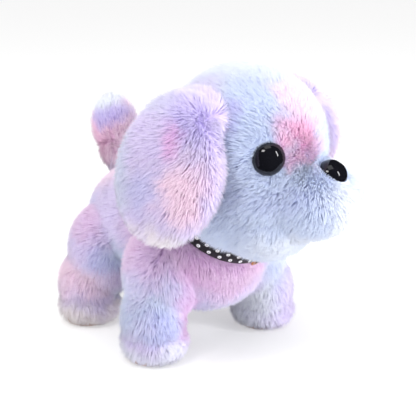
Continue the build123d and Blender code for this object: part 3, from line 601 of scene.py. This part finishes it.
def head_flow(p):
    """Away from the bridge of the nose, falling on the jaws."""
    out = unit(p - np.array([0, -54, -4]))
    fall = np.clip((-6 - p[:, 2]) / 30, 0, 1)[:, None] * np.array([0, 0, -0.55])
    return out + fall + np.array([0, 0.1, 0])


def near_disc(p, centre, axis, clear, reach, least):
    """Trim around an eye or the nose: no strands inside `clear`, short ones out to `reach`."""
    away = p - np.array(centre)
    axial = away @ np.array(axis)
    flat = away - axial[:, None] * np.array(axis)
    far = np.linalg.norm(flat, axis=1)
    ahead = axial > -14
    grown = least + (1 - least) * np.clip((far - clear) / (reach - clear), 0, 1)
    scale = np.where(ahead, np.where(far < clear, 0, grown), 1)
    pull = np.where(ahead, np.clip((reach + 3 - far) / reach, 0, 1), 0)[:, None]
    return scale, unit(flat) * pull * 2.2


NOSE_CLEAR, NOSE_REACH = 8.5, 14.5


def head_trim(p):
    scale = np.ones(len(p))
    push = np.zeros_like(p)
    spots = []
    for side in SIDES.values():
        way = Vector((side * EYE_DIR.x, EYE_DIR.y, EYE_DIR.z)).normalized()
        spots.append((way * EYE_SEAT, way, EYE_R - 1.8, EYE_R + 4.5, 0.40))
    spots.append((NOSE_AT, NOSE_OUT.normalized(), NOSE_CLEAR, NOSE_REACH, 0.34))
    for spot in spots:
        trimmed, pushed = near_disc(p, *spot)
        scale = np.minimum(scale, trimmed)
        push += pushed
    return scale, push


head = backing(head_skin, "head_backing", HEAD_DYE_AND_SHADE, HEAD)
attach(head, "head")
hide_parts("head_plush")
for tuft in pile("head_pile", head.data, head_flow, HEAD_DYE_AND_SHADE, DENSITY * 1.1, 41, HEAD, head_trim, length=7.4):
    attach(tuft, "head")

# ---- ears --------------------------------------------------------------------------------
EAR_LIFT = {"left": 30.0, "right": 14.0}
EAR_SHIFT = {"left": -24.0, "right": 0.0}
EAR_PIVOT = Vector((47, 1, 30))
for side_name, side in SIDES.items():
    pivot = Matrix.Translation(Vector((side * EAR_PIVOT.x, EAR_PIVOT.y, EAR_PIVOT.z)))
    swing = pivot @ Matrix.Rotation(math.radians(-side * EAR_LIFT[side_name]), 4, "Y") @ pivot.inverted()
    EAR = HEAD @ swing
    shift = EAR_SHIFT[side_name]
    skin = merged_skin(f"ear_backing_{side_name}", [
        (placed((side * 49, 14 + shift, -7), 4, 0, EAR), (8, 26.5, 34.5)),
        (placed((side * 47, 14 + shift, 9), 14, side * -12, EAR), (10, 20, 24)),
        (placed((side * 36, 10 + shift * 0.6, 22), 8, side * -38, EAR), (9, 17, 16)),
    ], voxel=1.5, smoothing=8)
    ear_dye_and_shade = pile_material(f"pile_ear_{side_name}", LILAC, [
        ((side * 50, 40 + shift, -4), (20, 13, 34), GREY_BLUE, 0.95),
        ((side * 40, 22 + shift, 30), (24, 16, 12), GREY_BLUE, 0.6),
        ((side * 52, 2 + shift, 20), (16, 14, 16), VIOLET, 0.45),
        ((side * 58, 10 + shift, 8), (12, 9, 13), MAGENTA, 0.9),
        ((side * 58, 24 + shift, -16), (14, 10, 14), PERI, 0.5),
        ((side * 58, 1 + shift, -15), (15, 15, 20), PINK, 1.0),
        ((side * 56, 18 + shift, -44), (20, 34, 12), IVORY, 0.9),
        ((side * 52, -2 + shift, -44), (18, 14, 10), WHITE_BLUE, 0.6),
    ])

    def ear_flow(p, side=side, shift=shift):
        out = unit(p - np.array([side * 46, shift - 5, 24]))
        return out * np.array([0.3, 1, 1]) + np.array([0, 0.1, -0.15])

    ear = backing(skin, f"ear_backing_{side_name}", ear_dye_and_shade, EAR)
    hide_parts(f"ear_{side_name}")
    hairs = pile(f"ear_pile_{side_name}", ear.data, ear_flow, ear_dye_and_shade, DENSITY * 1.1, 51 + side, EAR, length=7.4)
    for piece in [ear, *hairs]:
        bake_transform(piece)


# ---- eyes and nose -----------------------------------------------------------------------
def dome(name, radii, pose, rings=40, spokes=80, dents=()):
    """A smooth closed dome standing on its flat back, seated in the pile."""
    points, faces = [], []
    for i in range(rings + 1):
        rise = math.radians(90) * (1 - i / rings)
        for k in range(spokes):
            turn = 2 * math.pi * k / spokes
            p = Vector((radii[0] * math.cos(rise) * math.cos(turn), radii[1] * math.cos(rise) * math.sin(turn),
                        radii[2] * math.sin(rise)))
            for at, depth, reach in dents:
                p.z -= depth * math.exp(-((p.x - at[0]) ** 2 + (p.y - at[1]) ** 2) / reach**2)
            points.append(p)
    for inset, drop in ((0.98, 0.5), (0.86, 0.9), (0.3, 1.0)):
        for k in range(spokes):
            turn = 2 * math.pi * k / spokes
            points.append(Vector((radii[0] * inset * math.cos(turn), radii[1] * inset * math.sin(turn), -drop)))
    for i in range(len(points) // spokes - 1):
        for k in range(spokes):
            j = (k + 1) % spokes
            faces.append((i * spokes + k, (i + 1) * spokes + k, (i + 1) * spokes + j, i * spokes + j))
    last = len(points) - spokes
    faces.append(tuple(range(last, last + spokes)))
    mesh = bpy.data.meshes.new(name)
    mesh.from_pydata([pose @ p * MM for p in points], [], faces)
    bm = bmesh.new()
    bm.from_mesh(mesh)
    bmesh.ops.remove_doubles(bm, verts=bm.verts, dist=1e-7)
    bmesh.ops.recalc_face_normals(bm, faces=bm.faces)
    for face in bm.faces:
        face.smooth = True
    bm.to_mesh(mesh)
    bm.free()
    return mesh


def gloss_black(name, tint, rough):
    t = Tree(name)
    point = t.node("ShaderNodeTexCoord").outputs["Object"]
    cloud = t.noise(point, 160, 3)
    dust = t.noise(point, 2600, 2)
    t.set(Base_Color=t.mix(cloud, tint, tuple(c * 1.9 for c in tint[:3]) + (1,)),
          Roughness=t.remap(dust, 0.35, 0.75, rough, rough + 0.05),
          Specular_IOR_Level=0.3, Coat_Weight=0.12, Coat_Roughness=0.03)
    t.bump(cloud, 0.03, 0.0004)
    return t.material


GLOSS = gloss_black("black_gloss_moulding", srgb(12, 12, 16), 0.05)
for side_name, side in SIDES.items():
    way = Vector((side * EYE_DIR.x, EYE_DIR.y, EYE_DIR.z)).normalized()
    pose = HEAD @ Matrix.Translation(way * EYE_SEAT) @ way.to_track_quat("Z", "Y").to_matrix().to_4x4()
    label = f"eye_dome_{side_name}"
    eye = show(dome(label, (EYE_R, EYE_R, EYE_HIGH), pose), label, GLOSS)
    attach(eye, "head")
    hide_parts(f"eye_{side_name}")
nose_axes = Matrix(((1, 0, 0), NOSE_OUT.cross(X).normalized(), NOSE_OUT.normalized()))
nose_turn = nose_axes.transposed().to_4x4()
nose_pose = HEAD @ Matrix.Translation(NOSE_AT) @ nose_turn
nose_mesh = dome("nose_dome", NOSE_R, nose_pose, dents=[((-3.4, 3.6), 0.5, 1.6), ((3.4, 3.6), 0.5, 1.6)])
nose = show(nose_mesh, "nose_dome", GLOSS)
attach(nose, "head")
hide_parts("nose")

# ---- collar ------------------------------------------------------------------------------
RIBBON_STEPS, RIBBON_HALF, RIBBON_THICK = 220, 4.3, 1.0
ring = [ring_point(2 * math.pi * k / RIBBON_STEPS, 0, 0) for k in range(RIBBON_STEPS)]
run = np.cumsum([0] + [(ring[(k + 1) % RIBBON_STEPS] - ring[k]).length for k in range(RIBBON_STEPS)])
profile = [(-1, 0.1), (-1, 0.9), (-0.94, 1.0), (-0.6, 1.06), (0, 1.1),
           (0.6, 1.06), (0.94, 1.0), (1, 0.9), (1, 0.1), (0, 0.0)]
points, faces, along_mm, across_mm = [], [], [], []
for k in range(RIBBON_STEPS):
    turn = 2 * math.pi * k / RIBBON_STEPS
    for across, out in profile:
        points.append(ring_point(turn, across * RIBBON_HALF, 0.25 + out * RIBBON_THICK))
        along_mm.append(run[k])
        across_mm.append(across * RIBBON_HALF)
width = len(profile)
for k in range(RIBBON_STEPS):
    j = (k + 1) % RIBBON_STEPS
    for i in range(width):
        h = (i + 1) % width
        faces.append((k * width + i, j * width + i, j * width + h, k * width + h))
mesh = bpy.data.meshes.new("collar_band")
mesh.from_pydata([p * MM for p in points], [], faces)
bm = bmesh.new()
bm.from_mesh(mesh)
bmesh.ops.recalc_face_normals(bm, faces=bm.faces)
for face in bm.faces:
    face.smooth = True
bm.to_mesh(mesh)
bm.free()
float_attribute(mesh, "run", along_mm)
float_attribute(mesh, "across", across_mm)
t = Tree("satin_ribbon")
run_fac, across_fac = t.attribute("run"), t.attribute("across")
weave = t.math("SINE", t.math("MULTIPLY", run_fac, 18.0))
ribs = t.math("SINE", t.math("MULTIPLY", across_fac, 26.0))
stitch = t.math("MULTIPLY", t.math("GREATER_THAN", t.math("SINE", t.math("MULTIPLY", run_fac, 4.4)), 0.1),
                t.math("LESS_THAN", t.math("ABSOLUTE", t.math("SUBTRACT", t.math("ABSOLUTE", across_fac), 3.8)), 0.16))
cloud = t.noise(t.node("ShaderNodeTexCoord").outputs["Object"], 220, 3)
colour = t.mix(cloud, srgb(14, 14, 18), srgb(30, 30, 36))
colour = t.mix(t.math("MULTIPLY", stitch, 0.6), colour, srgb(58, 58, 66))
t.set(Base_Color=colour, Roughness=t.remap(weave, -1, 1, 0.42, 0.55), Sheen_Weight=0.15)
relief = t.math("ADD", ribs, t.math("MULTIPLY", stitch, 3.0))
t.bump(t.math("ADD", t.math("MULTIPLY", weave, 0.5), relief), 0.25, 0.00012)
band = show(mesh, "collar_band", t.material)
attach(band, "chassis")
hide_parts("collar_ribbon")

t = Tree("ribbon_dots")
ring_fac = t.attribute("rim")
colour = t.mix(t.remap(ring_fac, 0.35, 0.62, 0, 1, smooth=True), srgb(178, 176, 182), srgb(246, 246, 248))
speck = t.noise(t.node("ShaderNodeTexCoord").outputs["Object"], 900, 2)
t.set(Base_Color=t.mix(t.math("MULTIPLY", speck, 0.25), colour, srgb(214, 212, 220)),
      Roughness=t.remap(speck, 0.3, 0.7, 0.28, 0.42))
t.bump(speck, 0.1, 0.0001)
DOTS = t.material
DOT_R, DOT_GAP = 1.2, 6.8
count = round(run[-1] / DOT_GAP)
points, faces, rim = [], [], []
for row, up in ((0, -2.0), (1, 2.0)):
    for i in range(count):
        at = ((i + 0.5 * row) / count * run[-1]) % run[-1]
        turn = float(np.interp(at, run, np.linspace(0, 2 * math.pi, RIBBON_STEPS + 1)))
        seat = ring_point(turn, up, 0.25 + RIBBON_THICK * 1.05)
        ahead = (ring_point(turn + 0.02, up, 0.25 + RIBBON_THICK * 1.05) - seat).normalized()
        above = (ring_point(turn, up + 0.5, 0.25 + RIBBON_THICK * 1.05) - seat).normalized()
        out = ahead.cross(above)
        out = (out if out.dot(seat - COLLAR_AT) > 0 else -out).normalized()
        above = out.cross(ahead)
        start = len(points)
        spokes = 18
        for radius, high in ((1.0, -0.25), (1.0, 0.05), (0.88, 0.2), (0.6, 0.26), (0.45, 0.2), (0.2, 0.24)):
            for k in range(spokes):
                a = 2 * math.pi * k / spokes
                points.append(seat + (ahead * math.cos(a) + above * math.sin(a)) * radius * DOT_R + out * high)
                rim.append(radius)
        for level in range(5):
            for k in range(spokes):
                j = (k + 1) % spokes
                a, b = start + level * spokes, start + (level + 1) * spokes
                faces.append((a + k, a + j, b + j, b + k))
        faces.append(tuple(start + 5 * spokes + k for k in range(spokes)))
        faces.append(tuple(start + k for k in reversed(range(spokes))))
mesh = bpy.data.meshes.new("collar_dots")
mesh.from_pydata([p * MM for p in points], [], faces)
bm = bmesh.new()
bm.from_mesh(mesh)
bmesh.ops.recalc_face_normals(bm, faces=bm.faces)
for face in bm.faces:
    face.smooth = True
bm.to_mesh(mesh)
bm.free()
float_attribute(mesh, "rim", rim)
dots = show(mesh, "collar_dots", DOTS)
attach(dots, "chassis")


# ---- materials of the frame's own parts --------------------------------------------------
def moulded(name, colour, rough, grain=900.0, shift=0.06):
    t = Tree(name)
    point = t.node("ShaderNodeTexCoord").outputs["Object"]
    cloud, fine = t.noise(point, 60, 3), t.noise(point, grain, 3)
    darker = tuple(c * (1 - 2 * shift) for c in colour[:3]) + (1,)
    t.set(Base_Color=t.mix(cloud, darker, colour), Roughness=t.remap(fine, 0.3, 0.7, rough - 0.06, rough + 0.08))
    t.bump(fine, 0.12, 0.0002)
    return t.material


def metal(name, colour, rough, stretch=(1, 1, 1)):
    t = Tree(name)
    point = t.vector("MULTIPLY", t.node("ShaderNodeTexCoord").outputs["Object"], stretch)
    brush, cloud = t.noise(point, 1400, 2), t.noise(point, 90, 3)
    darker = tuple(c * 0.8 for c in colour[:3]) + (1,)
    t.set(Base_Color=t.mix(cloud, darker, colour), Metallic=1.0, Roughness=t.remap(brush, 0.3, 0.7, rough, rough + 0.16))
    t.bump(brush, 0.08, 0.0001)
    return t.material


FINISH = {
    "white_abs": moulded("abs_white", srgb(236, 236, 232), 0.46),
    "door_abs": moulded("abs_lilac", srgb(222, 214, 232), 0.44),
    "grey_abs": moulded("abs_grey", srgb(186, 188, 194), 0.48),
    "gear_acetal": moulded("acetal", srgb(244, 240, 226), 0.34, 500),
    "sole_rubber": moulded("sole_rubber", srgb(196, 142, 112), 0.68, 1500, 0.1),
    "black_gloss": GLOSS,
    "ribbon": DOTS,
    "gold": metal("gold_plate", srgb(226, 184, 120), 0.16),
    "steel": metal("zinc_steel", srgb(206, 208, 212), 0.26, (1, 6, 1)),
    "brass": metal("turned_brass", srgb(216, 182, 104), 0.24, (6, 1, 1)),
    "motor_can": metal("drawn_can", srgb(200, 202, 206), 0.3, (1, 5, 5)),
    "plated_contact": metal("nickel_plate", srgb(214, 214, 216), 0.22),
    "cell_jacket": moulded("cell_jacket", srgb(70, 78, 92), 0.3, 400),
    "board": moulded("solder_mask", srgb(38, 108, 62), 0.36, 700, 0.12),
    "speaker_black": moulded("black_moulding", srgb(44, 44, 48), 0.55),
    "wire_red": moulded("lead_red", srgb(196, 48, 44), 0.5, 600),
    "plush": BODY_DYE_AND_SHADE,
}
for row in frame["record"]["subparts"]:
    node = frame["nodes"][row["node"]]
    node.data.materials.clear()
    node.data.materials.append(FINISH[row["material_slot"]])

# ---- floor, light and camera -------------------------------------------------------------
floor_mesh = bpy.data.meshes.new("studio_floor")
bm = bmesh.new()
bmesh.ops.create_circle(bm, cap_ends=True, segments=96, radius=9.0)
bm.to_mesh(floor_mesh)
bm.free()
t = Tree("studio_paper")
paper = t.noise(t.node("ShaderNodeTexCoord").outputs["Object"], 300, 2)
t.set(Base_Color=t.mix(paper, (0.60, 0.60, 0.60, 1), (0.62, 0.62, 0.62, 1)), Roughness=0.9,
      Emission_Color=(1, 1, 1, 1), Emission_Strength=0.375)
floor_mesh.materials.append(t.material)
floor = bpy.data.objects.new("studio_floor", floor_mesh)
bpy.context.scene.collection.objects.link(floor)
floor.visible_glossy = False

world = bpy.data.worlds.new("studio")
bpy.context.scene.world = world
world.use_nodes = True
world.node_tree.nodes["Background"].inputs[0].default_value = (1.0, 1.0, 1.0, 1)
world.node_tree.nodes["Background"].inputs[1].default_value = 1.0
world.cycles_visibility.glossy = False

CAMERA_TURN, CAMERA_RISE, CAMERA_FAR = math.radians(-38), math.radians(16), 0.560
TARGET = Vector((0.013, 0.0048, 0.078))


def seen_from(turn, rise):
    return Vector((math.sin(turn) * math.cos(rise), -math.cos(turn) * math.cos(rise), math.sin(rise)))


def lamp(name, turn, rise, far, size, power, tint=(1, 1, 1), glossy=True):
    data = bpy.data.lights.new(name, "AREA")
    data.shape = "RECTANGLE"
    data.size, data.size_y = size
    data.energy = power
    data.color = tint
    obj = bpy.data.objects.new(name, data)
    obj.visible_glossy = glossy
    bpy.context.scene.collection.objects.link(obj)
    way = seen_from(math.radians(turn), math.radians(rise))
    obj.location = TARGET + way * far
    obj.rotation_euler = way.to_track_quat("Z", "Y").to_euler()


lamp("key_softbox", -70, 52, 1.3, (0.42, 0.26), 5.5, (1.0, 0.985, 0.98))
lamp("strip_right", 28, 24, 1.2, (0.12, 0.50), 4.5, (0.97, 0.98, 1.0))
lamp("fill_right", 16, 4, 1.3, (0.9, 0.7), 11.0, (0.98, 0.985, 1.0), glossy=False)
lamp("small_left", -112, 30, 1.2, (0.10, 0.10), 1.4)
lamp("top_softbox", -20, 82, 1.4, (0.8, 0.8), 3.5)

camera_data = bpy.data.cameras.new("camera")
camera_data.sensor_width = 36.0
camera_data.lens = 77.54
camera_data.clip_start, camera_data.clip_end = 0.01, 50
camera = bpy.data.objects.new("camera", camera_data)
bpy.context.scene.collection.objects.link(camera)
facing = seen_from(CAMERA_TURN, CAMERA_RISE)
camera.location = TARGET + facing * CAMERA_FAR
camera.rotation_euler = facing.to_track_quat("Z", "Y").to_euler()
bpy.context.scene.camera = camera
bpy.context.scene.view_settings.view_transform = "Standard"
